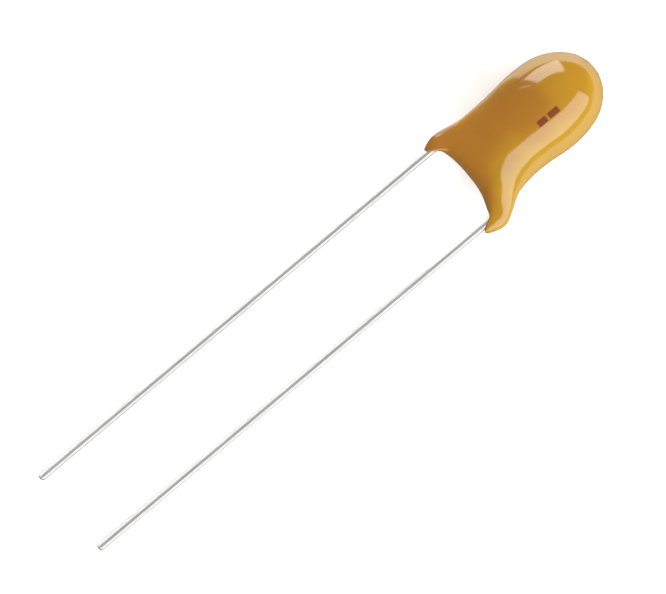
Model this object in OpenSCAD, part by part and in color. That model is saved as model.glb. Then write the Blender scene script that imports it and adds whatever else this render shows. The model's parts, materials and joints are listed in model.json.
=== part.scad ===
// Resin-dipped tantalum capacitor with two radial leads.
//
// Every piece is drawn upright: x runs across the leads with the anode lead on +x, z runs
// along them towards the crown, and the marked face looks towards -y. z = 0 is where the
// resin ends on the cathode lead. lie_down() then lays the part on a flat surface, where it
// comes to rest on its belly and on the ends of both leads.

/* [Leads] */
// Distance between the centres of the two leads
lead_pitch = 5.08; // [4.2:0.01:6.2]
// Diameter of the lead wire
lead_d = 0.5; // [0.4:0.01:0.6]
// Length of each lead below the resin
lead_length = 28; // [12:0.1:40]
// Rounding of the cut edge at a lead's free end
lead_end_r = 0.06; // [0.02:0.01:0.1]
// How far below the resin a lead starts its crank towards the slug
crank_drop = 0.12; // [0.1:0.01:0.2]
// Height above the resin's end at which both cranks are finished
crank_top = 3.05; // [2.9:0.05:3.6]
// Bend radius, on the wire's centre line, where a lead starts its crank
lower_bend_r = 2.5; // [1:0.1:2.6]
// Bend radius, on the wire's centre line, where a lead ends its crank
upper_bend_r = 0.8; // [0.5:0.1:1]
// Length of the cathode lead that lies beside the slug
cathode_overlap = 3; // [2:0.1:3.5]

/* [Slug] */
// Diameter of the sintered slug
slug_d = 3.3; // [2.7:0.05:4]
// Height of the sintered slug
slug_h = 4.3; // [3.5:0.05:5.2]
// Rounding of the slug's edges
slug_edge_r = 0.3; // [0.1:0.05:0.4]
// How far the slug's axis stands off the middle, towards the cathode lead
slug_offset = 0.05; // [0:0.01:0.1]
// Thickness of the manganese dioxide and graphite layer
graphite_t = 0.07; // [0.05:0.01:0.1]
// Thickness of the silver layer
silver_t = 0.06; // [0.05:0.01:0.1]
// How far the silver layer stops short of the face that the riser wire leaves
silver_setback = 0.4; // [0.2:0.05:0.6]

/* [Riser] */
// Diameter of the tantalum riser wire
riser_d = 0.3; // [0.25:0.01:0.4]
// Length of riser wire pressed into the slug
riser_depth = 1.6; // [1:0.1:2.5]
// Diameter of the insulating washer on the riser wire
washer_d = 1.5; // [1:0.1:2]
// Thickness of the insulating washer
washer_t = 0.2; // [0.15:0.01:0.4]
// Length over which riser wire and anode lead lie side by side at the weld
weld_length = 0.65; // [0.5:0.05:1]
// How far the weld presses the two wires into each other
weld_setdown = 0.07; // [0.04:0.01:0.1]
// Free riser wire between the anode lead's end and the washer
weld_gap = 0.12; // [0.1:0.01:0.3]

/* [Solder] */
// Film of solder between the silver layer and the cathode lead
solder_film = 0.05; // [0.03:0.01:0.08]
// Solder over the far side and the end of the cathode lead
solder_over = 0.1; // [0.05:0.01:0.15]
// How far the solder reaches round the slug, to each side, in degrees
solder_reach = 24; // [20:1:30]
// Silver left bare below the solder
solder_margin = 0.15; // [0.1:0.05:0.3]

/* [Resin] */
// Resin over the side of the slug, and over the cathode lead beside it
resin_wall = 0.6; // [0.45:0.01:0.8]
// Resin over the slug's top
crown_wall = 1.8; // [1.4:0.05:2.2]
// How far above the slug's middle the bulb is widest
bulb_rise = 0.6; // [0:0.05:0.8]
// How much narrower the neck is than the bulb, on each side
neck_in = 0.16; // [0.05:0.01:0.25]
// Height of the neck above the resin's end
neck_z = 3.5; // [2.8:0.1:3.8]
// How far below the neck the cathode side is already at its narrowest
cathode_waist = 0.8; // [0:0.05:1.2]
// How far below the neck the anode side is already at its narrowest
anode_waist = 0.25; // [0:0.05:1.2]
// How far the crown's peak leans towards the anode side
crown_lean = 0.05; // [0:0.01:0.1]
// Resin outside the anode lead's centre line where its leg is widest
anode_leg_out = 0.76; // [0.5:0.01:0.9]
// Resin outside the cathode lead's centre line where its leg is widest
cathode_leg_out = 0.52; // [0.45:0.01:0.9]
// Height above the resin's end at which the anode leg is widest
anode_leg_h = 0.72; // [0.6:0.02:0.9]
// Height above the resin's end at which the cathode leg is widest
cathode_leg_h = 0.95; // [0.7:0.05:1.1]
// How fully a leg rounds in from its widest to its tip: 1 is straight
leg_round = 2; // [1.4:0.1:2.6]
// How far the resin creeps down the anode lead past its end on the cathode lead
anode_creep = 0.3; // [0:0.05:0.3]
// Resin left outside a lead at the very tip of its leg
tip_feather = 0.03; // [0.03:0.01:0.08]
// Width over which the resin's edge climbs across a lead, from the tip of the leg to the arch
collar_w = 0.6; // [0.4:0.05:0.8]
// Height of the arch between the legs above the resin's end
arch_h = 1.05; // [0.8:0.05:1.2]
// How far from the middle the arch starts to come down to the anode lead
anode_arch_out = 0.3; // [0:0.1:1.2]
// How far from the middle the arch starts to come down to the cathode lead
cathode_arch_out = 1; // [0:0.1:1.2]
// How far the arch has come down where it reaches the anode lead
anode_arch_fall = 0.64; // [0:0.02:0.7]
// How far the arch has come down where it reaches the cathode lead
cathode_arch_fall = 0.54; // [0:0.02:0.7]
// Height over which the arch's lip rounds off
arch_lip = 0.3; // [0.2:0.05:0.5]
// Resin in front of and behind a lead in the web between the legs
web_cover = 0.32; // [0.2:0.01:0.4]
// Shape of the web's section: 1 for an ellipse, less for a squarer one
web_square = 0.76; // [0.6:0.02:1]
// Height above the slug's lower face at which the flare in front and behind ends
flare_rise = 0.7; // [0:0.1:1.5]

/* [Hidden] */

$fn = 96;
ACROSS = 37; // points on each face of a resin section, shared ends included
SKIRT_RINGS = 20;
SKIRT_CROWD = 1.5; // above 1, the skirt's rings crowd towards the lower edge
BODY_RINGS = 12;
CROWN_RINGS = 14;
CROWN_FULL = 0.95; // below 1, the crown is fuller than an ellipsoid
PAST = 1; // how far a cutter runs past what it cuts
KNUCKLE = 0.0005; // how far a ball at a wire's joint stands out of the wire
FILLET_OVER = 1.01; // the solder's fillet circles are this much larger, so that they cut cleanly

lead_r = lead_d / 2;
lead_x = lead_pitch / 2;
slug_r = slug_d / 2;
riser_r = riser_d / 2;
black_r = slug_r + graphite_t;
coated_r = black_r + silver_t;

// Heights
weld_top = crank_top + weld_length;
slug_z = weld_top + weld_gap + washer_t;
slug_top = slug_z + slug_h;
silver_z = slug_z + silver_setback;
solder_z = silver_z + solder_margin;
cathode_top = slug_z + cathode_overlap;
solder_top = cathode_top + solder_over;
coated_top = slug_top + graphite_t + silver_t;
bulb_z = slug_z + slug_h / 2 + bulb_rise;
crown_z = coated_top + crown_wall;
flare_z = slug_z + flare_rise;

// Where the leads run once they are cranked in
slug_x = -slug_offset;
anode_x = slug_x + riser_r + lead_r - weld_setdown;
cathode_x = slug_x - coated_r - solder_film - lead_r;

// Half depths of the resin
bulb_deep = coated_r + resin_wall;
neck_deep = bulb_deep - neck_in;
web_deep = lead_r + web_cover;

function mix(a, b, t) = a + (b - a) * t;
function ease(t) = (1 - cos(180 * max(0, min(1, t)))) / 2;

// The resin's outline seen from the front; side is 1 towards the anode lead, -1 towards the
// cathode lead
function bulb_x(side) = side > 0 ? slug_x + coated_r + resin_wall : cathode_x - lead_r - resin_wall;
function neck_x(side) = bulb_x(side) - side * neck_in;
function leg_x(side) = side * (lead_x + (side > 0 ? anode_leg_out : cathode_leg_out));
function leg_z(side) = side > 0 ? anode_leg_h : cathode_leg_h;
function waist_z(side) = neck_z - (side > 0 ? anode_waist : cathode_waist);
function tip_x(side) = side * (lead_x + lead_r + tip_feather);
function tip_z(side) = side > 0 ? -anode_creep : 0;
function outline_x(side, z) =
    z < leg_z(side)
    ? mix(leg_x(side), tip_x(side),
          pow((leg_z(side) - z) / (leg_z(side) - tip_z(side)), leg_round))
    : z < neck_z
    ? mix(leg_x(side), neck_x(side), ease((z - leg_z(side)) / (waist_z(side) - leg_z(side))))
    : mix(neck_x(side), bulb_x(side), ease((z - neck_z) / (bulb_z - neck_z)));

// The lower edge: a low arch between the leads, and a steep drop across each lead to the tip
// of its leg
function arch_z(side, x) =
    let (out = side > 0 ? anode_arch_out : cathode_arch_out,
         fall = side > 0 ? anode_arch_fall : cathode_arch_fall)
    arch_h - fall * pow(max(0, side * x - out) / (lead_x - out), 2);
function edge_z(x) =
    let (side = x < 0 ? -1 : 1)
    mix(tip_z(side), arch_z(side, x), ease(side * (tip_x(side) - x) / collar_w));

// Half depth at height z, above a lower edge at height low
function deep(z, low) =
    (z < flare_z
     ? mix(web_deep, neck_deep, ease((z - leg_z(1)) / (flare_z - leg_z(1))))
     : mix(neck_deep, bulb_deep, ease((z - flare_z) / (bulb_z - flare_z))))
    * sqrt(1 - pow(1 - min(1, (z - low) / arch_lip), 2));

// A section's squareness, 1 for an ellipse: the web is squarer than the bulb
function square_to(t) = mix(web_square, 1, ease(t));
function bowed(v, squareness) = sign(v) * pow(abs(v), squareness);

// A point of the skirt, t = 0 at the lower edge and 1 at the neck; the angle runs from the
// cathode side over the front
function skirt_point(t, angle) =
    let (squareness = square_to(t),
         across = (1 - bowed(cos(angle), squareness)) / 2,
         low = edge_z(mix(tip_x(-1), tip_x(1), across)),
         z = mix(low, neck_z, t),
         left = outline_x(-1, mix(tip_z(-1), neck_z, t)),
         right = outline_x(1, mix(tip_z(1), neck_z, t)))
    [mix(left, right, across), -deep(z, low) * bowed(sin(angle), squareness), z];

// A point of the body between neck and bulb
function body_point(z, angle) = [
    mix(outline_x(-1, z), outline_x(1, z), (1 - cos(angle)) / 2), -deep(z, 0) * sin(angle), z
];

// A point of the crown, which is a slightly full half ellipsoid on the bulb's widest section
function crown_point(rise, angle) =
    let (middle = (bulb_x(1) + bulb_x(-1)) / 2,
         half_width = (bulb_x(1) - bulb_x(-1)) / 2,
         in = pow(cos(rise), CROWN_FULL))
    [middle + crown_lean * sin(rise) - half_width * in * cos(angle),
     -bulb_deep * in * sin(angle), mix(bulb_z, crown_z, sin(rise))];

AROUND = 2 * (ACROSS - 1);
STEP = 360 / AROUND;
RINGS = SKIRT_RINGS + BODY_RINGS + CROWN_RINGS;

body_zs = [for (k = [1:BODY_RINGS]) mix(neck_z, bulb_z, k / BODY_RINGS)];

// How far the part tips up when it lies on its belly and its lead ends
rest_tilt = max([
    for (z = body_zs) atan((deep(z, 0) - lead_r) / (z + lead_length - lead_end_r))
]);

// A cylinder of height h whose edges are rounded below and, if asked, above
module rounded_rod(r, h, below, above = 0) {
    rotate_extrude() {
        translate([0, below]) square([r, h - below - above]);
        square([r - below, below]);
        translate([r - below, below]) circle(below);
        if (above > 0) {
            translate([0, h - above]) square([r - above, above]);
            translate([r - above, h - above]) circle(above);
        }
    }
}

// A wire's bend: from the origin upwards, turning towards -x
module elbow(bend_r, angle) {
    translate([-bend_r, 0, 0]) rotate([90, 0, 0])
        rotate_extrude(angle = angle) translate([bend_r, 0]) circle(lead_r);
}

// A ball a hair wider than the wire: it closes the joint between a bend and a straight run,
// so that the wire is one solid
module knuckle(x, z) {
    translate([x, 0, z]) sphere(lead_r + KNUCKLE);
}

// A lead: straight up from its free end, cranked over to into_x, then straight up to top_z
module lead(side, into_x, top_z) {
    start_z = tip_z(side) - crank_drop;
    rise = crank_top - start_z;
    shift = abs(lead_x - side * into_x);
    inward = lead_x > side * into_x ? 1 : -1;
    bends = lower_bend_r + upper_bend_r;
    run = sqrt(rise * rise + shift * shift - 2 * bends * shift);
    lean = atan2(rise, bends - shift) - atan2(run, bends);
    low_x = -lower_bend_r * (1 - cos(lean));
    low_z = start_z + lower_bend_r * sin(lean);

    scale([side, 1, 1]) translate([lead_x, 0, 0]) {
        union() {
            translate([0, 0, -lead_length]) rounded_rod(lead_r, lead_length + start_z, lead_end_r);
            knuckle(0, start_z);
        }
        scale([inward, 1, 1]) {
            translate([0, 0, start_z]) elbow(lower_bend_r, lean);
            union() {
                knuckle(low_x, low_z);
                translate([low_x, 0, low_z]) rotate([0, -lean, 0]) cylinder(r = lead_r, h = run);
                knuckle(low_x - run * sin(lean), low_z + run * cos(lean));
            }
            translate([-shift, 0, crank_top]) rotate([0, 180, 0]) elbow(upper_bend_r, lean);
            union() {
                knuckle(-shift, crank_top);
                translate([-shift, 0, crank_top]) cylinder(r = lead_r, h = top_z - crank_top);
            }
        }
    }
}

// The slug grown by t on every side
module slug_body(t = 0) {
    translate([slug_x, 0, slug_z - t])
        rounded_rod(slug_r + t, slug_h + 2 * t, slug_edge_r + t, slug_edge_r + t);
}

module silver_body() {
    intersection() {
        slug_body(graphite_t + silver_t);
        translate([slug_x, 0, silver_z]) cylinder(r = coated_r + PAST, h = slug_h + PAST);
    }
}

module riser_rod(r, from_z, to_z) {
    translate([slug_x, 0, from_z]) cylinder(r = r, h = to_z - from_z);
}

// The solder and everything it wraps, with a hollow fillet on each side of the lead
module solder_body() {
    lobe_r = lead_r + solder_over;
    reach = slug_x - cathode_x;
    fillet_r = (pow(coated_r, 2) + pow(reach, 2) - 2 * coated_r * reach * cos(solder_reach)
                - pow(lobe_r, 2)) / (2 * (lobe_r - coated_r + reach * cos(solder_reach)));
    fillet_x = slug_x - (coated_r + fillet_r) * cos(solder_reach);
    fillet_y = (coated_r + fillet_r) * sin(solder_reach);
    translate([0, 0, solder_z]) linear_extrude(solder_top - solder_z) {
        translate([cathode_x, 0]) circle(lobe_r);
        difference() {
            polygon([[slug_x, 0], [fillet_x, fillet_y], [cathode_x, 0], [fillet_x, -fillet_y]]);
            for (side = [-1, 1])
                translate([fillet_x, side * fillet_y]) circle(fillet_r * FILLET_OVER);
        }
    }
}

module lie_down() {
    length_x = lead_length - lead_end_r;
    crown_h = crown_z - bulb_z;
    tail = -length_x * cos(rest_tilt) - (lead_r - lead_end_r) * sin(rest_tilt) - lead_end_r;
    nose = bulb_z * cos(rest_tilt)
        + sqrt(pow(crown_h * cos(rest_tilt), 2) + pow(bulb_deep * sin(rest_tilt), 2));
    middle = (max(leg_x(1), bulb_x(1)) + min(leg_x(-1), bulb_x(-1))) / 2;
    floor_z = -lead_end_r - (lead_r - lead_end_r) * cos(rest_tilt) - length_x * sin(rest_tilt);
    translate([-(tail + nose) / 2, middle, -floor_z])
        rotate([0, -rest_tilt, 0]) rotate([-90, 0, 0]) rotate([0, 90, 0]) children();
}

// The dipped coat's outer form, as one closed skin
module resin_skin() {
    points = concat(
        [for (j = [0:ACROSS - 1]) skirt_point(0, j * STEP)],
        [for (k = [1:SKIRT_RINGS], j = [0:AROUND - 1])
            skirt_point(pow(k / SKIRT_RINGS, SKIRT_CROWD), j * STEP)],
        [for (z = body_zs, j = [0:AROUND - 1]) body_point(z, j * STEP)],
        [for (k = [1:CROWN_RINGS - 1], j = [0:AROUND - 1])
            crown_point(90 * k / CROWN_RINGS, j * STEP)],
        [crown_point(90, 0)]
    );
    // The lower edge is one row of points that the front and the back share
    function at(ring, j) =
        ring == 0 ? min(j, AROUND - j)
        : ring == RINGS ? len(points) - 1
        : ACROSS + (ring - 1) * AROUND + j % AROUND;
    sides = [
        for (ring = [0:RINGS - 2], j = [0:AROUND - 1])
        let (a = at(ring, j), b = at(ring, j + 1), c = at(ring + 1, j + 1), d = at(ring + 1, j))
        each (j < AROUND / 4 || (j >= AROUND / 2 && j < AROUND * 3 / 4)
              ? [[a, c, b], [a, d, c]] : [[a, d, b], [b, d, c]])
    ];
    top = [for (j = [0:AROUND - 1]) [at(RINGS - 1, j), len(points) - 1, at(RINGS - 1, j + 1)]];
    polyhedron(points = points, faces = concat(sides, top));
}

module resin_coat() {
    color([0.72, 0.47, 0.15]) lie_down() difference() {
        resin_skin();
        slug_body(graphite_t);
        silver_body();
        riser_rod(washer_d / 2, slug_z - washer_t, slug_z);
        riser_rod(riser_r, crank_top, slug_z);
        lead(1, anode_x, weld_top);
        lead(-1, cathode_x, cathode_top);
        solder_body();
    }
}

module tantalum_slug() {
    color([0.36, 0.37, 0.40]) lie_down() difference() {
        slug_body();
        riser_rod(riser_r, slug_z - PAST, slug_z + riser_depth);
    }
}

module graphite_coat() {
    color([0.14, 0.14, 0.15]) lie_down() difference() {
        slug_body(graphite_t);
        slug_body();
        riser_rod(washer_d / 2, slug_z - PAST, slug_z);
    }
}

module silver_coat() {
    color([0.78, 0.77, 0.74]) lie_down() difference() {
        silver_body();
        slug_body(graphite_t);
    }
}

module riser_wire() {
    color([0.48, 0.49, 0.52]) lie_down() riser_rod(riser_r, crank_top, slug_z + riser_depth);
}

module riser_washer() {
    color([0.92, 0.92, 0.90]) lie_down() difference() {
        riser_rod(washer_d / 2, slug_z - washer_t, slug_z);
        riser_rod(riser_r, slug_z - washer_t - PAST, slug_z + PAST);
    }
}

module anode_lead() {
    color([0.75, 0.76, 0.78]) lie_down() difference() {
        lead(1, anode_x, weld_top);
        riser_rod(riser_r, crank_top, weld_top + PAST);
    }
}

module cathode_lead() {
    color([0.75, 0.76, 0.78]) lie_down() lead(-1, cathode_x, cathode_top);
}

module solder_joint() {
    color([0.66, 0.67, 0.69]) lie_down() difference() {
        solder_body();
        riser_rod(coated_r, solder_z - PAST, solder_top + PAST);
        lead(-1, cathode_x, cathode_top);
    }
}

resin_coat();
tantalum_slug();
graphite_coat();
silver_coat();
riser_wire();
riser_washer();
anode_lead();
cathode_lead();
solder_joint();
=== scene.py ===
# Studio picture of a resin-dipped tantalum capacitor lying on a pale surface.
# New pieces are modelled upright in millimetres, leads down, then laid down onto the frame.

import json
import math
import bmesh
import bpy
from mathutils import Matrix, Vector


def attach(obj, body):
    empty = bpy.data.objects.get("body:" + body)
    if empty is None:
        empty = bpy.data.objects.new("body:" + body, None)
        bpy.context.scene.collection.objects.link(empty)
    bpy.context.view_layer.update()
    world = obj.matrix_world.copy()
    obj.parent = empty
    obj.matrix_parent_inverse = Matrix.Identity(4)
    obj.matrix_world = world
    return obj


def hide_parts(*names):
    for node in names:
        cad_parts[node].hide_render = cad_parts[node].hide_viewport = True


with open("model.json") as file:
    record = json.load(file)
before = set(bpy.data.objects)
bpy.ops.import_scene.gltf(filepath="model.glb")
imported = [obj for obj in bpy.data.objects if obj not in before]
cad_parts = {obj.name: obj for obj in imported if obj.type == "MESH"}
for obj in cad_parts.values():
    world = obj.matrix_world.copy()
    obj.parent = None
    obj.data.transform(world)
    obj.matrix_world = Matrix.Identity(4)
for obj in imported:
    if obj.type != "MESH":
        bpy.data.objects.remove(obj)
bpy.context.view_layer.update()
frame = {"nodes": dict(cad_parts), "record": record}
mm = 0.001
bpy.ops.object.select_all(action="DESELECT")
print("frame loaded:", ", ".join(frame["nodes"]))

# The leads, as the frame has them
leads = {
    "pitch": 5.08,          # between the two centre lines
    "radius": 0.25,
    "length": 28.0,         # from the resin's end on the cathode lead to the free ends
    "endRound": 0.06,       # of the frame's leads, whose mounts start above it
    "crankTop": 3.05,       # both cranks are finished at this height
    "lowerBend": 1.5,       # bend radii on the centre line
    "upperBend": 0.8,
    "tipRound": 0.22,       # the cut ends are rounded over this far
    "tipOut": 0.08,         # and reach this much past the frame's
}

# Upright axes: x from the cathode lead to the anode lead, -y out of the marked face, z from
# the leads to the crown. z = 0 is where the resin ends on the cathode lead.
mounts = {mount["name"]: mount for mount in frame["record"]["mounts"]}
cathodeEnd = mounts["cathode_lead_end"]
up = -Vector(cathodeEnd["axis"])
across = Vector(mounts["anode_lead_end"]["pos_m"]) - Vector(cathodeEnd["pos_m"])
across = (across - up * across.dot(up)).normalized()
inward = up.cross(across)
mountHeight = cathodeEnd["dims"]["length_mm"] / 2 + leads["endRound"] - leads["length"]
uprightOrigin = Vector(cathodeEnd["pos_m"]) + (across * leads["pitch"] / 2 - up * mountHeight) * mm


def axesMatrix(xAxis, yAxis, zAxis, origin):
    matrix = Matrix((xAxis, yAxis, zAxis)).transposed().to_4x4()
    matrix.translation = origin
    return matrix


uprightToFrame = axesMatrix(across, inward, up, uprightOrigin) @ Matrix.Scale(mm, 4)


def layDown(piece):
    # from upright millimetres to its place in the frame, with the place in the mesh
    piece.matrix_world = uprightToFrame
    bpy.ops.object.select_all(action="DESELECT")
    piece.select_set(True)
    bpy.context.view_layer.objects.active = piece
    bpy.ops.object.transform_apply(location=True, rotation=True, scale=True)


def placeCamera():
    # straight down onto the marked face, from far enough away to look almost flat
    view = {
        "lens": 200, "sensor": 36,
        "width": 37.06,                         # millimetres across the picture
        "height": 18.92 - leads["length"],      # where the picture's middle is
        "side": 0.208,
        "roll": 39.99,                          # degrees
        "clipStart": 0.01,                      # metres
    }
    distance = view["width"] * view["lens"] / view["sensor"]
    turn = math.radians(view["roll"])
    right = up * math.cos(turn) + across * math.sin(turn)
    top = up * math.sin(turn) - across * math.cos(turn)
    data = bpy.data.cameras.new("camera")
    data.lens = view["lens"]
    data.sensor_width = view["sensor"]
    data.clip_start = view["clipStart"]
    camera = bpy.data.objects.new("camera", data)
    bpy.context.collection.objects.link(camera)
    camera.matrix_world = axesMatrix(
        right, top, -inward, uprightToFrame @ Vector((view["side"], -distance, view["height"])))
    bpy.context.scene.camera = camera


placeCamera()
print("camera placed")


def elements(kind):
    shape = bmesh.from_edit_mesh(bpy.context.object.data)
    shape.verts.index_update()
    shape.faces.index_update()
    return getattr(shape, kind)


def placeOf(element):
    if isinstance(element, bmesh.types.BMVert):
        return element.co.copy()
    return element.calc_center_median()


# These three work in edit mode. The first selects the verts or faces with these numbers and
# nothing else, the second those whose place passes the test, and the third lists the selected.
def choose(numbers, kind="verts"):
    bpy.ops.mesh.select_all(action="DESELECT")
    for element in elements(kind):
        if element.index in numbers:
            element.select_set(True)
    bmesh.from_edit_mesh(bpy.context.object.data).select_flush_mode()
    bmesh.update_edit_mesh(bpy.context.object.data)


def pick(test, kind="verts"):
    choose({e.index for e in elements(kind) if test(placeOf(e))}, kind)


def chosen(kind="verts"):
    return {e.index: placeOf(e) for e in elements(kind) if e.select}


tiny = 0.01     # millimetres: places nearer than this are the same


def near(a, b, reach=tiny):
    return abs(a - b) < reach


def move(x=0, y=0, z=0):
    bpy.ops.transform.translate(value=(x, y, z))


def stretch(x=1, y=1, z=1, about=(0, 0, 0)):
    bpy.ops.transform.resize(value=(x, y, z), center_override=about)


def extrudeBy(x=0, y=0, z=0):
    bpy.ops.mesh.extrude_region_move(TRANSFORM_OT_translate={"value": (x, y, z)})


def applyModifier(piece, name, kind, **settings):
    modifier = piece.modifiers.new(name, kind)
    for setting, value in settings.items():
        setattr(modifier, setting, value)
    bpy.context.view_layer.objects.active = piece
    bpy.ops.object.modifier_apply(modifier=name)


def throughPoints(values, passes=20):
    # cage values whose smoothed curve passes through the ones asked for
    cage = list(values)
    for _ in range(passes):
        for i in range(1, len(cage) - 1):
            cage[i] += values[i] - (cage[i - 1] + 4 * cage[i] + cage[i + 1]) / 6
    return cage


dip = {
    "sides": 20,                # points in each ring
    "webSpan": 8,               # the lowest ring is closed by eight by two faces
    "crownSpan": 5,             # and the highest by five by five
    # height, cathode side, anode side, half depth
    "rings": [
        (1.35, -3.07, 3.14, 0.66),
        (1.95, -2.94, 2.78, 0.93),
        (2.50, -2.84, 2.45, 1.25),
        (3.15, -2.81, 2.28, 1.66),
        (3.90, -2.83, 2.20, 2.04),
        (4.90, -2.88, 2.21, 2.22),
        (5.90, -2.965, 2.32, 2.32),
        (6.80, -2.98, 2.36, 2.36),
        (7.65, -2.91, 2.28, 2.29),
        (8.40, -2.70, 2.09, 2.11),
        (9.05, -2.36, 1.79, 1.80),
        (9.60, -1.90, 1.34, 1.40),
        (9.97, -1.43, 0.86, 0.96),
        (10.18, -0.93, 0.35, 0.48),
    ],
    # how far the crown bulges above the last ring: the share of the ring's width that rises,
    # and by how much
    "crown": [(0.9, 0.065), (0.4, 0.026)],
    # the web's two lowest sections are squarer, and the next is thinner on the anode side:
    # which ring, which sides, and the stretch in depth of its side columns
    "flanks": [
        (0, (-1, 1), (1.42, 1.16, 1.05)),
        (1, (-1, 1), (1.22, 1.08, 1.02)),
        (2, (1,), (0.72, 0.88, 1)),
    ],
    # the arch between the legs: place across, height of its rims and of its keel
    "arch": [
        (-1.85, 1.09, 0.72), (-0.95, 1.31, 0.9), (0, 1.3, 0.9), (1, 1.3, 0.84), (1.9, 0.81, 0.47),
    ],
    "archReach": 0.2,           # a column this near to a place across belongs to it
    # sections of the legs, which start this far out, each with an outer, a middle and an inner
    # column: height, distance out and half depth
    "legsFrom": 2,
    "anodeLeg": [
        ((0.85, 3.31, 0.34), (0.70, 2.74, 0.52), (0.54, 2.15, 0.54)),
        ((0.14, 3.13, 0.28), (0.22, 2.74, 0.42), (0.38, 2.36, 0.42)),
        ((-0.44, 2.83, 0.20), (-0.12, 2.66, 0.32), (0.22, 2.40, 0.30)),
    ],
    "cathodeLeg": [
        ((0.85, 3.03, 0.34), (0.75, 2.60, 0.52), (0.72, 2.05, 0.54)),
        ((0.30, 2.86, 0.28), (0.42, 2.58, 0.42), (0.60, 2.25, 0.40)),
        ((-0.06, 2.66, 0.20), (0.14, 2.50, 0.32), (0.40, 2.36, 0.26)),
    ],
    "levels": 3,
}


def stackRings(rings):
    # the web's lower face, then ring after ring up to the crown
    bpy.ops.mesh.fill_grid(span=dip["webSpan"], offset=dip["webSpan"] // 2)
    middle, width, depth, height = 0, 1, 1, 0
    for i, (z, left, right, deep) in enumerate(rings):
        newMiddle, newWidth = (left + right) / 2, (right - left) / 2
        if i == 0:
            bpy.ops.mesh.select_all(action="SELECT")
            move(newMiddle, 0, z)
        else:
            extrudeBy(newMiddle - middle, 0, z - height)
        stretch(newWidth / width, deep / depth, about=(newMiddle, 0, z))
        if i == 0:
            bpy.ops.mesh.region_to_loop()
        middle, width, depth, height = newMiddle, newWidth, deep, z

    bpy.ops.mesh.fill_grid(span=dip["crownSpan"])
    for share, rise in dip["crown"]:
        pick(lambda p: p.z > height - tiny
             and math.hypot((p.x - middle) / width, p.y / depth) < share)
        move(z=rise)


def shapeFlanks(rings, bulge):
    for i, sides, gains in dip["flanks"]:
        z, left, right, deep = rings[i]
        for column, gain in enumerate(gains, start=1):
            out = (right - left) / 2 * bulge * math.cos(math.tau / dip["sides"] * column)
            places = [(left + right) / 2 + side * out for side in sides]
            pick(lambda p: near(p.z, z) and any(near(p.x, place) for place in places))
            stretch(y=gain)


def hangArch(low):
    # the web's lower face hangs down along its middle
    for x, rim, keel in dip["arch"]:
        pick(lambda p: near(p.z, low) and near(p.x, x, dip["archReach"]) and not near(p.y, 0))
        move(z=rim - low)
        pick(lambda p: near(p.z, low) and near(p.x, x, dip["archReach"]) and near(p.y, 0))
        move(z=keel - low)


def drawLeg(side, sections, low):
    # The last two columns of faces under the web are drawn down along the lead. Each section is
    # first laid flat at the web's height, and then its three columns of points are placed.
    pick(lambda p: p.z < low + tiny and side * p.x > dip["legsFrom"], "faces")
    for section in sections:
        extrudeBy(z=-tiny)
        stretch(z=0, about=(0, 0, low))
        faces = chosen("faces")
        foot = sorted(chosen().items(), key=lambda item: -side * item[1].x)
        for (z, x, deep), column in zip(section, (foot[:3], foot[3:6], foot[6:])):
            front = min((place for _, place in column), key=lambda place: place.y)
            choose({number for number, _ in column})
            stretch(y=deep / -front.y)
            move(side * x - front.x, 0, z - low)
        choose(faces, "faces")


def makeDip():
    rings = list(zip(*[throughPoints(column) for column in zip(*dip["rings"])]))
    bulge = 6 / (4 + 2 * math.cos(math.tau / dip["sides"]))     # smoothing pulls a ring in
    bpy.ops.mesh.primitive_circle_add(vertices=dip["sides"], radius=bulge, fill_type="NOTHING")
    coat = bpy.context.object
    coat.name = "resin_dip"
    bpy.ops.object.mode_set(mode="EDIT")
    stackRings(rings)
    shapeFlanks(rings, bulge)
    low = rings[0][0]
    hangArch(low)
    for side, sections in ((1, dip["anodeLeg"]), (-1, dip["cathodeLeg"])):
        drawLeg(side, sections, low)
    bpy.ops.mesh.select_all(action="SELECT")
    bpy.ops.mesh.normals_make_consistent(inside=False)
    bpy.ops.object.mode_set(mode="OBJECT")
    applyModifier(coat, "smooth", "SUBSURF", levels=dip["levels"], render_levels=dip["levels"])
    bpy.ops.object.shade_smooth()
    return coat


# Both leads turn in under the resin, from their pitch to the slug and its riser wire
wires = {
    "sides": 32,
    "endSegments": 5,
    "elbowSteps": 10,
    "smoothUnder": 35,      # degrees: a sharper edge stays sharp
    # side, height where the lower bend starts, distance out above the bends, and top
    "shapes": {
        "anode_lead": (1, 0.1, 0.28, 3.70),
        "cathode_lead": (-1, 0.3, 2.13, 7.02),
    },
}


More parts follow.
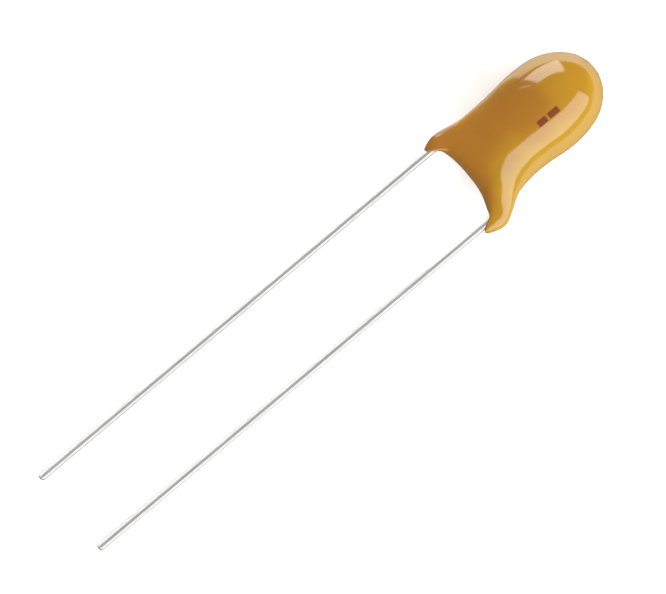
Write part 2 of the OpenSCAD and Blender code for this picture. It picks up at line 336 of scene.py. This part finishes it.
def makeLead(node, side, start, into, top):
    # a straight run between two bends, leaning by so much that it meets both
    pitchOut, lower, upper = leads["pitch"] / 2, leads["lowerBend"], leads["upperBend"]
    tip = -leads["length"] - leads["tipOut"]
    shift, rise, bends = pitchOut - into, leads["crankTop"] - start, lower + upper
    run = math.sqrt(rise ** 2 + shift ** 2 - 2 * bends * shift)
    lean = math.atan2(rise, bends - shift) - math.atan2(run, bends)
    bpy.ops.mesh.primitive_circle_add(
        vertices=wires["sides"], radius=leads["radius"], fill_type="NOTHING",
        location=(side * pitchOut, 0, tip))
    wire = bpy.context.object
    wire.name = node + "_wire"
    bpy.ops.object.transform_apply(location=True)
    bpy.ops.object.mode_set(mode="EDIT")
    bpy.ops.mesh.select_all(action="SELECT")
    extrudeBy(z=start - tip)
    bpy.ops.mesh.spin(steps=wires["elbowSteps"], angle=lean, axis=(0, side, 0),
                      center=(side * (pitchOut - lower), 0, start))
    extrudeBy(-side * run * math.sin(lean), 0, run * math.cos(lean))
    bpy.ops.mesh.spin(steps=wires["elbowSteps"], angle=lean, axis=(0, -side, 0),
                      center=(side * (into + upper), 0, leads["crankTop"]))
    extrudeBy(z=top - leads["crankTop"])
    bpy.ops.mesh.edge_face_add()
    pick(lambda p: near(p.z, tip))
    bpy.ops.mesh.edge_face_add()
    bpy.ops.mesh.bevel(offset=leads["tipRound"], segments=wires["endSegments"], affect="EDGES")
    bpy.ops.mesh.select_all(action="SELECT")
    bpy.ops.mesh.remove_doubles(threshold=tiny / 100)
    bpy.ops.mesh.normals_make_consistent(inside=False)
    bpy.ops.object.mode_set(mode="OBJECT")
    bpy.ops.object.shade_smooth_by_angle(angle=math.radians(wires["smoothUnder"]))
    return wire


# Two bars printed on the face, the polarity mark
bars = {
    "places": [(0.04, 0.39, 6.40, 7.10), (0.04, 0.39, 5.66, 6.26)],    # left, right, bottom, top
    "cuts": (5, 8),         # fields across and along, so that a bar can follow the coat
    "corner": 0.03,
    "cornerSegments": 3,
    "film": 0.02,           # thickness of the ink
    "proud": 0.01,          # how far it stands out of the coat
    "front": -4,            # a bar starts here, in front of the face
    "smoothUnder": 50,      # degrees
}


def cutInto(fields, start, end, normal):
    # edit mode: parallel cuts that divide the mesh into this many fields
    for cut in range(1, fields):
        bpy.ops.mesh.select_all(action="SELECT")
        bpy.ops.mesh.bisect(plane_co=start.lerp(end, cut / fields), plane_no=normal)


def makeBars(coat):
    pieces = []
    for i, (left, right, bottom, top) in enumerate(bars["places"]):
        bpy.ops.object.select_all(action="DESELECT")
        bpy.ops.mesh.primitive_plane_add(
            size=1, location=((left + right) / 2, bars["front"], (bottom + top) / 2),
            rotation=(math.pi / 2, 0, 0))
        bar = bpy.context.object
        bar.name = f"polarity_bar_{i + 1}"
        bar.scale = (right - left, top - bottom, 1)
        bpy.ops.object.transform_apply(location=True, rotation=True, scale=True)
        bpy.ops.object.mode_set(mode="EDIT")
        bpy.ops.mesh.select_all(action="SELECT")
        bpy.ops.mesh.bevel(
            offset=bars["corner"], segments=bars["cornerSegments"], affect="VERTICES")
        cutInto(bars["cuts"][1], Vector((0, 0, bottom)), Vector((0, 0, top)), (0, 0, 1))
        cutInto(bars["cuts"][0], Vector((left, 0, 0)), Vector((right, 0, 0)), (1, 0, 0))
        bpy.ops.object.mode_set(mode="OBJECT")
        applyModifier(bar, "wrap", "SHRINKWRAP", target=coat, wrap_method="PROJECT",
                      use_project_y=True, use_positive_direction=True, use_negative_direction=False)
        applyModifier(bar, "film", "SOLIDIFY", thickness=bars["film"],
                      offset=2 * bars["proud"] / bars["film"] - 1)
        bpy.ops.object.mode_set(mode="EDIT")
        bpy.ops.mesh.select_all(action="SELECT")
        bpy.ops.mesh.normals_make_consistent(inside=False)
        bpy.ops.object.mode_set(mode="OBJECT")
        bpy.ops.object.shade_smooth_by_angle(angle=math.radians(bars["smoothUnder"]))
        pieces.append(bar)
    return pieces


coat = makeDip()
printed = makeBars(coat)
layDown(coat)
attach(coat, "root")
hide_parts("resin_coat")
print("dipped coat modelled:", len(coat.data.polygons), "faces")

for bar in printed:
    layDown(bar)
    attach(bar, "root")
print("polarity bars laid on the coat")

wirePieces = []
for node, shape in wires["shapes"].items():
    wire = makeLead(node, *shape)
    layDown(wire)
    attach(wire, "root")
    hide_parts(node)
    wirePieces.append(wire)
print("leads modelled")

floorWidth = 2      # metres
bpy.ops.mesh.primitive_plane_add(size=floorWidth, location=(0, 0, 0))
floor = bpy.context.object
floor.name = "floor"
floor.visible_glossy = False        # the gloss shows the room's sweep instead


def linear(hexColour):
    # sRGB hex to the linear colour that a shader wants
    channels = [int(hexColour[i:i + 2], 16) / 255 for i in (1, 3, 5)]
    return [c / 12.92 if c <= 0.04045 else ((c + 0.055) / 1.055) ** 2.4 for c in channels] + [1]


def addNode(tree, kind, sockets=None, **settings):
    # sockets: each one's name or number, with its value or with (node, output) to link from
    node = tree.nodes.new("ShaderNode" + kind)
    for name, value in settings.items():
        setattr(node, name, value)
    for name, value in (sockets or {}).items():
        if isinstance(value, tuple) and isinstance(value[0], bpy.types.Node):
            tree.links.new(value[0].outputs[value[1]], node.inputs[name])
        else:
            node.inputs[name].default_value = value
    return node


def newMaterial(name, *pieces):
    # an empty material on these pieces, its tree, and object coordinates in upright millimetres
    material = bpy.data.materials.new(name)
    material.use_nodes = True
    material.node_tree.nodes.clear()
    for piece in pieces:
        if not piece.material_slots:
            piece.data.materials.append(material)
        for slot in piece.material_slots:
            slot.material = material
    tree = material.node_tree
    place, turn, size = uprightToFrame.inverted().decompose()
    coordinates = addNode(tree, "TexCoord")
    upright = addNode(tree, "Mapping", {
        "Vector": (coordinates, "Object"), "Location": place, "Rotation": turn.to_euler(),
        "Scale": size})
    return tree, (upright, "Vector")


def between(places):
    # sockets of a change that starts at the first place and is complete at the second
    return {"From Min": places[0], "From Max": places[1]}


def within(values):
    # sockets of a change from the first value to the second
    return {"To Min": values[0], "To Max": values[1]}


def finishMaterial(tree, sockets):
    surface = addNode(tree, "BsdfPrincipled", sockets)
    addNode(tree, "OutputMaterial", {"Surface": (surface, "BSDF")})


# Dipped epoxy: cured from a liquid, so glossy, with slow waves and no grain. It is gold, and
# browner on the cathode side below the crown. Painted light makes the gold brighter on the
# anode side, over the crown and round the waist, and painted shade spreads the brown down the
# legs. Places are upright millimetres, and a pair of them says where a change starts and where
# it is complete.
epoxy = {
    "gold": "#916915",
    "paintedLitGold": "#977419",
    "brown": "#8A5A18",
    "driftScale": 0.5,              # the borders wander, in patches about 2 mm across
    "drift": (-0.7, 0.7),           # and by this much
    "brownAcross": (0.9, -0.5),     # the brown starts here from the anode side
    "brownUp": (7.8, 6.4),          # and here from the crown
    "brownEdge": (-2.85, -2.4),     # and the cathode side's edge stays gold
    "waistUp": (5.5, 3.5),          # down to the waist the brown draws back
    "waistBack": 0.45,              # by this much
    "paintedShadeLegsUp": (2.6, 0.7),           # and down the legs it spreads as painted shade
    "paintedShadeLegsSpread": 2.6,              # by this much
    "paintedLitAcross": (0.7, 1.6),     # painted light: the anode side's gold is brighter and towards the crown the painted light spreads
    "paintedLitCrownUp": (8.3, 10.3),         # and towards the crown the bright gold spreads
    "paintedLitCrownSpread": 1.8,             # by this much
    "paintedLightUp": 2.9,                   # painted light: round this height the colour is brighter
    "paintedLightGain": 1.18,             # by this many times
    "paintedLightReach": (0.3, 1.8),         # which fades between these distances from that height
    "paintedLightAcross": (0.9, 0.3),        # and starts here from the anode side
    "waveScale": 0.45,              # slow waves a little over 2 mm apart
    "waveHeight": 0.04,
}


def dippedEpoxy(*pieces):
    tree, upright = newMaterial("dipped_epoxy", *pieces)
    noise = addNode(tree, "TexNoise", {
        "Vector": upright, "Scale": epoxy["driftScale"], "Detail": 2})
    drift = addNode(tree, "MapRange", {"Value": (noise, "Fac"), **within(epoxy["drift"])})
    ways = addNode(tree, "SeparateXYZ", {"Vector": upright})

    # the way across that the borders go by, shifted at the waist and legs and by the drift
    # painted shade: the brown spreads down the legs, where the surface turns down
    paintedShadeLegs = addNode(tree, "MapRange", {
        "Value": (ways, "Z"), **between(epoxy["paintedShadeLegsUp"]), "To Max": -epoxy["paintedShadeLegsSpread"]},
        interpolation_type="SMOOTHSTEP")
    waist = addNode(tree, "MapRange", {
        "Value": (ways, "Z"), **between(epoxy["waistUp"]), "To Max": epoxy["waistBack"]})
    drawnBack = addNode(tree, "Math", {0: (ways, "X"), 1: (waist, "Result")}, operation="ADD")
    spread = addNode(tree, "Math", {0: (drawnBack, "Value"), 1: (paintedShadeLegs, "Result")}, operation="ADD")
    acrossWay = addNode(tree, "Math", {0: (spread, "Value"), 1: (drift, "Result")}, operation="ADD")
    upWay = addNode(tree, "Math", {0: (ways, "Z"), 1: (drift, "Result")}, operation="ADD")

    # brown: off the anode side, below the crown and not on the cathode side's edge
    brownAcross = addNode(tree, "MapRange", {
        "Value": (acrossWay, "Value"), **between(epoxy["brownAcross"])},
        interpolation_type="SMOOTHSTEP")
    brownUp = addNode(tree, "MapRange", {
        "Value": (upWay, "Value"), **between(epoxy["brownUp"])}, interpolation_type="SMOOTHSTEP")
    inWay = addNode(tree, "Math", {0: (ways, "X"), 1: (paintedShadeLegs, "Result")}, operation="SUBTRACT")
    brownEdge = addNode(tree, "MapRange", {
        "Value": (inWay, "Value"), **between(epoxy["brownEdge"])}, interpolation_type="SMOOTHSTEP")
    facing = addNode(tree, "Math", {0: (brownAcross, "Result"), 1: (brownEdge, "Result")},
                     operation="MULTIPLY")
    browned = addNode(tree, "Math", {0: (facing, "Value"), 1: (brownUp, "Result")},
                      operation="MULTIPLY")

    # painted light: brighter gold on the anode side, and all over the crown
    crown = addNode(tree, "MapRange", {
        "Value": (ways, "Z"), **between(epoxy["paintedLitCrownUp"]), "To Max": epoxy["paintedLitCrownSpread"]})
    paintedLitWay = addNode(tree, "Math", {0: (acrossWay, "Value"), 1: (crown, "Result")},
                        operation="ADD")
    paintedLitShare = addNode(tree, "MapRange", {
        "Value": (paintedLitWay, "Value"), **between(epoxy["paintedLitAcross"])},
        interpolation_type="SMOOTHSTEP")
    gold = addNode(tree, "MixRGB", {
        "Fac": (paintedLitShare, "Result"), "Color1": linear(epoxy["gold"]),
        "Color2": linear(epoxy["paintedLitGold"])})
    colour = addNode(tree, "MixRGB", {
        "Fac": (browned, "Value"), "Color1": (gold, "Color"), "Color2": linear(epoxy["brown"])})

    # painted light: brighter round the waist, off the anode side
    fromPaintedLight = addNode(tree, "Math", {0: (ways, "Z"), 1: epoxy["paintedLightUp"]}, operation="SUBTRACT")
    paintedLightWay = addNode(tree, "Math", {0: (fromPaintedLight, "Value")}, operation="ABSOLUTE")
    paintedLight = addNode(tree, "MapRange", {
        "Value": (paintedLightWay, "Value"), **between(epoxy["paintedLightReach"]),
        **within((epoxy["paintedLightGain"], 1))}, interpolation_type="SMOOTHSTEP")
    paintedLightSide = addNode(tree, "MapRange", {
        "Value": (ways, "X"), **between(epoxy["paintedLightAcross"])}, interpolation_type="SMOOTHSTEP")
    shaded = addNode(tree, "HueSaturation", {
        "Fac": (paintedLightSide, "Result"), "Color": (colour, "Color"), "Value": (paintedLight, "Result")})

    waves = addNode(tree, "TexNoise", {
        "Vector": upright, "Scale": epoxy["waveScale"], "Detail": 1})
    bump = addNode(tree, "Bump", {
        "Height": (waves, "Fac"), "Distance": epoxy["waveHeight"] * mm, "Strength": 1})
    finishMaterial(tree, {
        "Base Color": (shaded, "Color"), "Roughness": 0.1, "IOR": 1.55,
        "Normal": (bump, "Normal")})


# The faint lines that drawing leaves along a wire, shown coarser than they are
drawing = {
    "linesPerMm": (12, 12, 0.25),   # across, across and along
    "depth": 0.002,
    "tones": (0.35, 0.65),          # parts of the noise that take the first and second colour
}


def drawnWire(name, colours, roughness, *pieces):
    # a satin metal
    tree, upright = newMaterial(name, *pieces)
    along = addNode(tree, "Mapping", {"Vector": upright, "Scale": drawing["linesPerMm"]})
    lines = addNode(tree, "TexNoise", {"Vector": (along, "Vector"), "Scale": 1, "Detail": 3})
    colour = addNode(tree, "ValToRGB", {"Fac": (lines, "Fac")})
    for element, place, tone in zip(colour.color_ramp.elements, drawing["tones"], colours):
        element.position, element.color = place, linear(tone)
    sheen = addNode(tree, "MapRange", {"Value": (lines, "Fac"), **within(roughness)})
    bump = addNode(tree, "Bump", {
        "Height": (lines, "Fac"), "Distance": drawing["depth"] * mm, "Strength": 1})
    finishMaterial(tree, {
        "Base Color": (colour, "Color"), "Metallic": 1, "Roughness": (sheen, "Result"),
        "Normal": (bump, "Normal")})


# Marking ink: a thin matt film that takes little gloss, a little uneven in its cover about
# every tenth of a millimetre
def markingInk(*pieces):
    tree, upright = newMaterial("marking_ink", *pieces)
    cover = addNode(tree, "TexNoise", {"Vector": upright, "Scale": 9, "Detail": 3})
    colour = addNode(tree, "MixRGB", {
        "Fac": (cover, "Fac"), "Color1": linear("#602B14"), "Color2": linear("#6B3016")})
    finishMaterial(tree, {"Base Color": (colour, "Color"), "Roughness": 0.6, "IOR": 1.25})


# Pale board: an even white sheet with a faint mottle just under a millimetre across
def paleBoard(*pieces):
    tree, upright = newMaterial("pale_board", *pieces)
    grain = addNode(tree, "TexNoise", {"Vector": upright, "Scale": 1.2, "Detail": 4})
    colour = addNode(tree, "MixRGB", {
        "Fac": (grain, "Fac"), "Color1": linear("#EDEDEC"), "Color2": linear("#F1F1F0")})
    finishMaterial(tree, {"Base Color": (colour, "Color"), "Roughness": 0.9})


def grained(name, node, size, relief, colours, roughness, **sockets):
    # an inner piece with a grain of this size and height in millimetres, which is coarser than
    # the real one wherever that is too fine to show
    tree, upright = newMaterial(name, frame["nodes"][node])
    grain = addNode(tree, "TexNoise", {"Vector": upright, "Scale": 1 / size, "Detail": 4})
    colour = addNode(tree, "MixRGB", {
        "Fac": (grain, "Fac"), "Color1": linear(colours[0]), "Color2": linear(colours[1])})
    sheen = addNode(tree, "MapRange", {"Value": (grain, "Fac"), **within(roughness)})
    bump = addNode(tree, "Bump", {
        "Height": (grain, "Fac"), "Distance": relief * mm, "Strength": 1})
    finishMaterial(tree, {
        "Base Color": (colour, "Color"), "Roughness": (sheen, "Result"),
        "Normal": (bump, "Normal"), **sockets})


dippedEpoxy(coat)
markingInk(*printed)
paleBoard(floor)

# Tinned copper: bright and slightly warm, satin from the dip
drawnWire("tinned_copper", ("#C4C4C2", "#D0D0CE"), (0.28, 0.36), *wirePieces)

# Tantalum wire: blue-grey and darker than tin
drawnWire("tantalum_wire", ("#8E929B", "#9EA2AA"), (0.30, 0.42), frame["nodes"]["riser_wire"])

# Sintered tantalum: pressed from powder, so matt, dark grey and full of fine pores
grained("sintered_tantalum", "tantalum_slug", 0.12, 0.012, ("#56585C", "#7A7C82"), (0.65, 0.85),
        Metallic=1)

# Graphite: a dried dip, soft black with a faint rub of sheen
grained("graphite_dip", "graphite_coat", 0.25, 0.004, ("#1C1C1E", "#2B2B2E"), (0.5, 0.7), IOR=1.8)

# Silver paint: metal flakes in a binder, so a pale matt grey with a sparkle
grained("silver_paint", "silver_coat", 0.08, 0.003, ("#B9B7B0", "#D6D4CE"), (0.4, 0.6), Metallic=0.8)

# PTFE: cut from rod, waxy white with slow cloudy tones
grained("ptfe", "riser_washer", 0.4, 0.002, ("#E6E6E1", "#F2F2EF"), (0.4, 0.5), IOR=1.35)

# Solder: set from a melt, dull silver with a mottled crust
grained("solder", "solder_joint", 0.2, 0.008, ("#A3A5A8", "#BEBFC1"), (0.3, 0.5), Metallic=1)
print("materials made")

# The room that the gloss shows: dim all round, with a white sweep that runs from the horizon
# down under the part, on the crown's side
room = {
    "dim": 0.25,
    "sweep": (1.7, 0.3),            # brightness at the horizon and straight below
    "sweepBelow": -0.95,            # straight below, as a height on a ball round the part
    "horizon": (-0.03, -0.15),      # heights between which the sweep comes in
    "horizonTilt": 0.05,            # the horizon rises by this towards the anode side
    "sweepSide": (0.2, 0, 1),       # the sweep lies this way
    "sweepFrom": (-0.15, -0.09),    # and comes in between these places along that way
    "leftFrom": (0, 0.4),           # towards the cathode side it gets brighter
    "leftGain": (1, 1.75),          # by this
    "backdrop": 0.95,               # brightness of what is seen behind the floor
}


def turned(way):
    # an upright direction as the frame has it
    return uprightToFrame.to_3x3().normalized() @ Vector(way)


def makeRoom():
    world = bpy.data.worlds.new("studio")
    world.use_nodes = True
    tree = world.node_tree
    tree.nodes.clear()
    direction = addNode(tree, "TexCoord")
    side = addNode(tree, "VectorMath", {
        0: (direction, "Generated"), 1: turned(room["sweepSide"])}, operation="DOT_PRODUCT")
    height = addNode(tree, "VectorMath", {
        0: (direction, "Generated"), 1: -inward - across * room["horizonTilt"]},
        operation="DOT_PRODUCT")
    beside = addNode(tree, "MapRange", {
        "Value": (side, "Value"), **between(room["sweepFrom"])}, interpolation_type="SMOOTHSTEP")
    below = addNode(tree, "MapRange", {
        "Value": (height, "Value"), **between(room["horizon"])}, interpolation_type="SMOOTHSTEP")
    sweep = addNode(tree, "Math", {0: (beside, "Result"), 1: (below, "Result")},
                    operation="MULTIPLY")
    fading = addNode(tree, "MapRange", {
        "Value": (height, "Value"), **between((room["horizon"][1], room["sweepBelow"])),
        **within(room["sweep"])})
    leftWay = addNode(tree, "VectorMath", {0: (direction, "Generated"), 1: -across},
                      operation="DOT_PRODUCT")
    lifted = addNode(tree, "MapRange", {
        "Value": (leftWay, "Value"), **between(room["leftFrom"]), **within(room["leftGain"])})
    white = addNode(tree, "Math", {0: (fading, "Result"), 1: (lifted, "Result")},
                    operation="MULTIPLY")
    strength = addNode(tree, "MapRange", {
        "Value": (sweep, "Value"), "To Min": room["dim"], "To Max": (white, "Value")})
    ray = addNode(tree, "LightPath")
    shown = addNode(tree, "MapRange", {
        "Value": (ray, "Is Camera Ray"), "To Min": (strength, "Result"),
        "To Max": room["backdrop"]})
    sky = addNode(tree, "Background", {"Strength": (shown, "Result"), "Color": (1, 1, 1, 1)})
    addNode(tree, "OutputWorld", {"Surface": (sky, "Background")})
    bpy.context.scene.world = world


lampAim = (-0.3, 0, 6)      # what every lamp shines at: the middle of the bulb, upright


def hangLamp(name, data, way, roll=0, distance=0, shift=0):
    # a lamp out this way, with its length along the leads but for its roll
    lamp = bpy.data.objects.new(name, data)
    bpy.context.collection.objects.link(lamp)
    away = turned(way).normalized()
    long = (up - away * up.dot(away)).normalized()
    long = Matrix.Rotation(math.radians(roll), 3, away) @ long
    lamp.matrix_world = axesMatrix(
        long.cross(away), long, away,
        uprightToFrame @ Vector(lampAim) + (away * distance + long * shift) * mm)
    return lamp


# Softboxes: the coat's are what its gloss shows, and the leads have their own
softboxes = {
    # direction, distance, width, length, shift along its length (millimetres), roll (degrees)
    # and brightness
    "coat": {
        "main_light": ((0.789, -0.614, 0), 265, 223, 742, -27, 0, 3.7),
        "fill_light": ((-0.831, -0.260, 0.496), 300, 192, 240, 0, 12, 5),
        "strip_light": ((-0.890, -0.454, 0.047), 300, 95, 6, 0, 20, 4),
    },
    "leads": {
        "left_lead_light": ((-1, -0.08, 0), 300, 660, 900, 0, 0, 1.45),
        "right_lead_light": ((0.9, -0.44, 0), 300, 360, 900, 0, 0, 1.45),
        "front_lead_light": ((-0.2, -1, 0), 300, 380, 900, 0, 0, 0.35),
        "end_lead_light": ((0, -0.35, -0.94), 300, 400, 240, 0, 0, 0.5),
    },
}


def hangSoftbox(name, settings, forLeads):
    way, distance, width, length, shift, roll, brightness = settings
    data = bpy.data.lights.new(name, "AREA")
    data.shape = "RECTANGLE"
    data.size, data.size_y = width * mm, length * mm
    data.energy = brightness * math.pi * data.size * data.size_y
    lamp = hangLamp(name, data, way, roll, distance, shift)
    lamp.visible_camera = False
    linked = bpy.data.collections.new(name + "_leads")
    for wire in wirePieces:
        linked.objects.link(wire)
    lamp.light_linking.receiver_collection = linked
    if forLeads:
        lamp.light_linking.blocker_collection = linked
    for entry in linked.collection_objects:
        entry.light_linking.link_state = "INCLUDE" if forLeads else "EXCLUDE"


# Fills: soft suns that don't show in the gloss, and that only the floor shades
fills = {
    "softness": 80,         # degrees
    # direction, brightness and whether it is for the floor alone
    "suns": {
        "front_fill": ((-0.35, -0.8, 0.45), 0.62, False),
        "right_fill": ((0.85, -0.25, 0.45), 0.52, False),
        "left_fill": ((-1, -0.1, 0), 0.15, False),
        "floor_light": ((0, -1, 0), 0.15, True),
    },
}


def hangFill(name, settings, floorSet):
    way, brightness, floorOnly = settings
    data = bpy.data.lights.new(name, "SUN")
    data.energy = brightness * math.pi
    data.angle = math.radians(fills["softness"])
    lamp = hangLamp(name, data, way)
    lamp.visible_glossy = False
    lamp.light_linking.blocker_collection = floorSet
    if floorOnly:
        lamp.light_linking.receiver_collection = floorSet


def light():
    makeRoom()
    for name, settings in softboxes["coat"].items():
        hangSoftbox(name, settings, False)
    for name, settings in softboxes["leads"].items():
        hangSoftbox(name, settings, True)
    floorSet = bpy.data.collections.new("fills_shaded_by")
    floorSet.objects.link(floor)
    for name, settings in fills["suns"].items():
        hangFill(name, settings, floorSet)


light()
bpy.context.scene.view_settings.view_transform = "Standard"
print("studio lit")
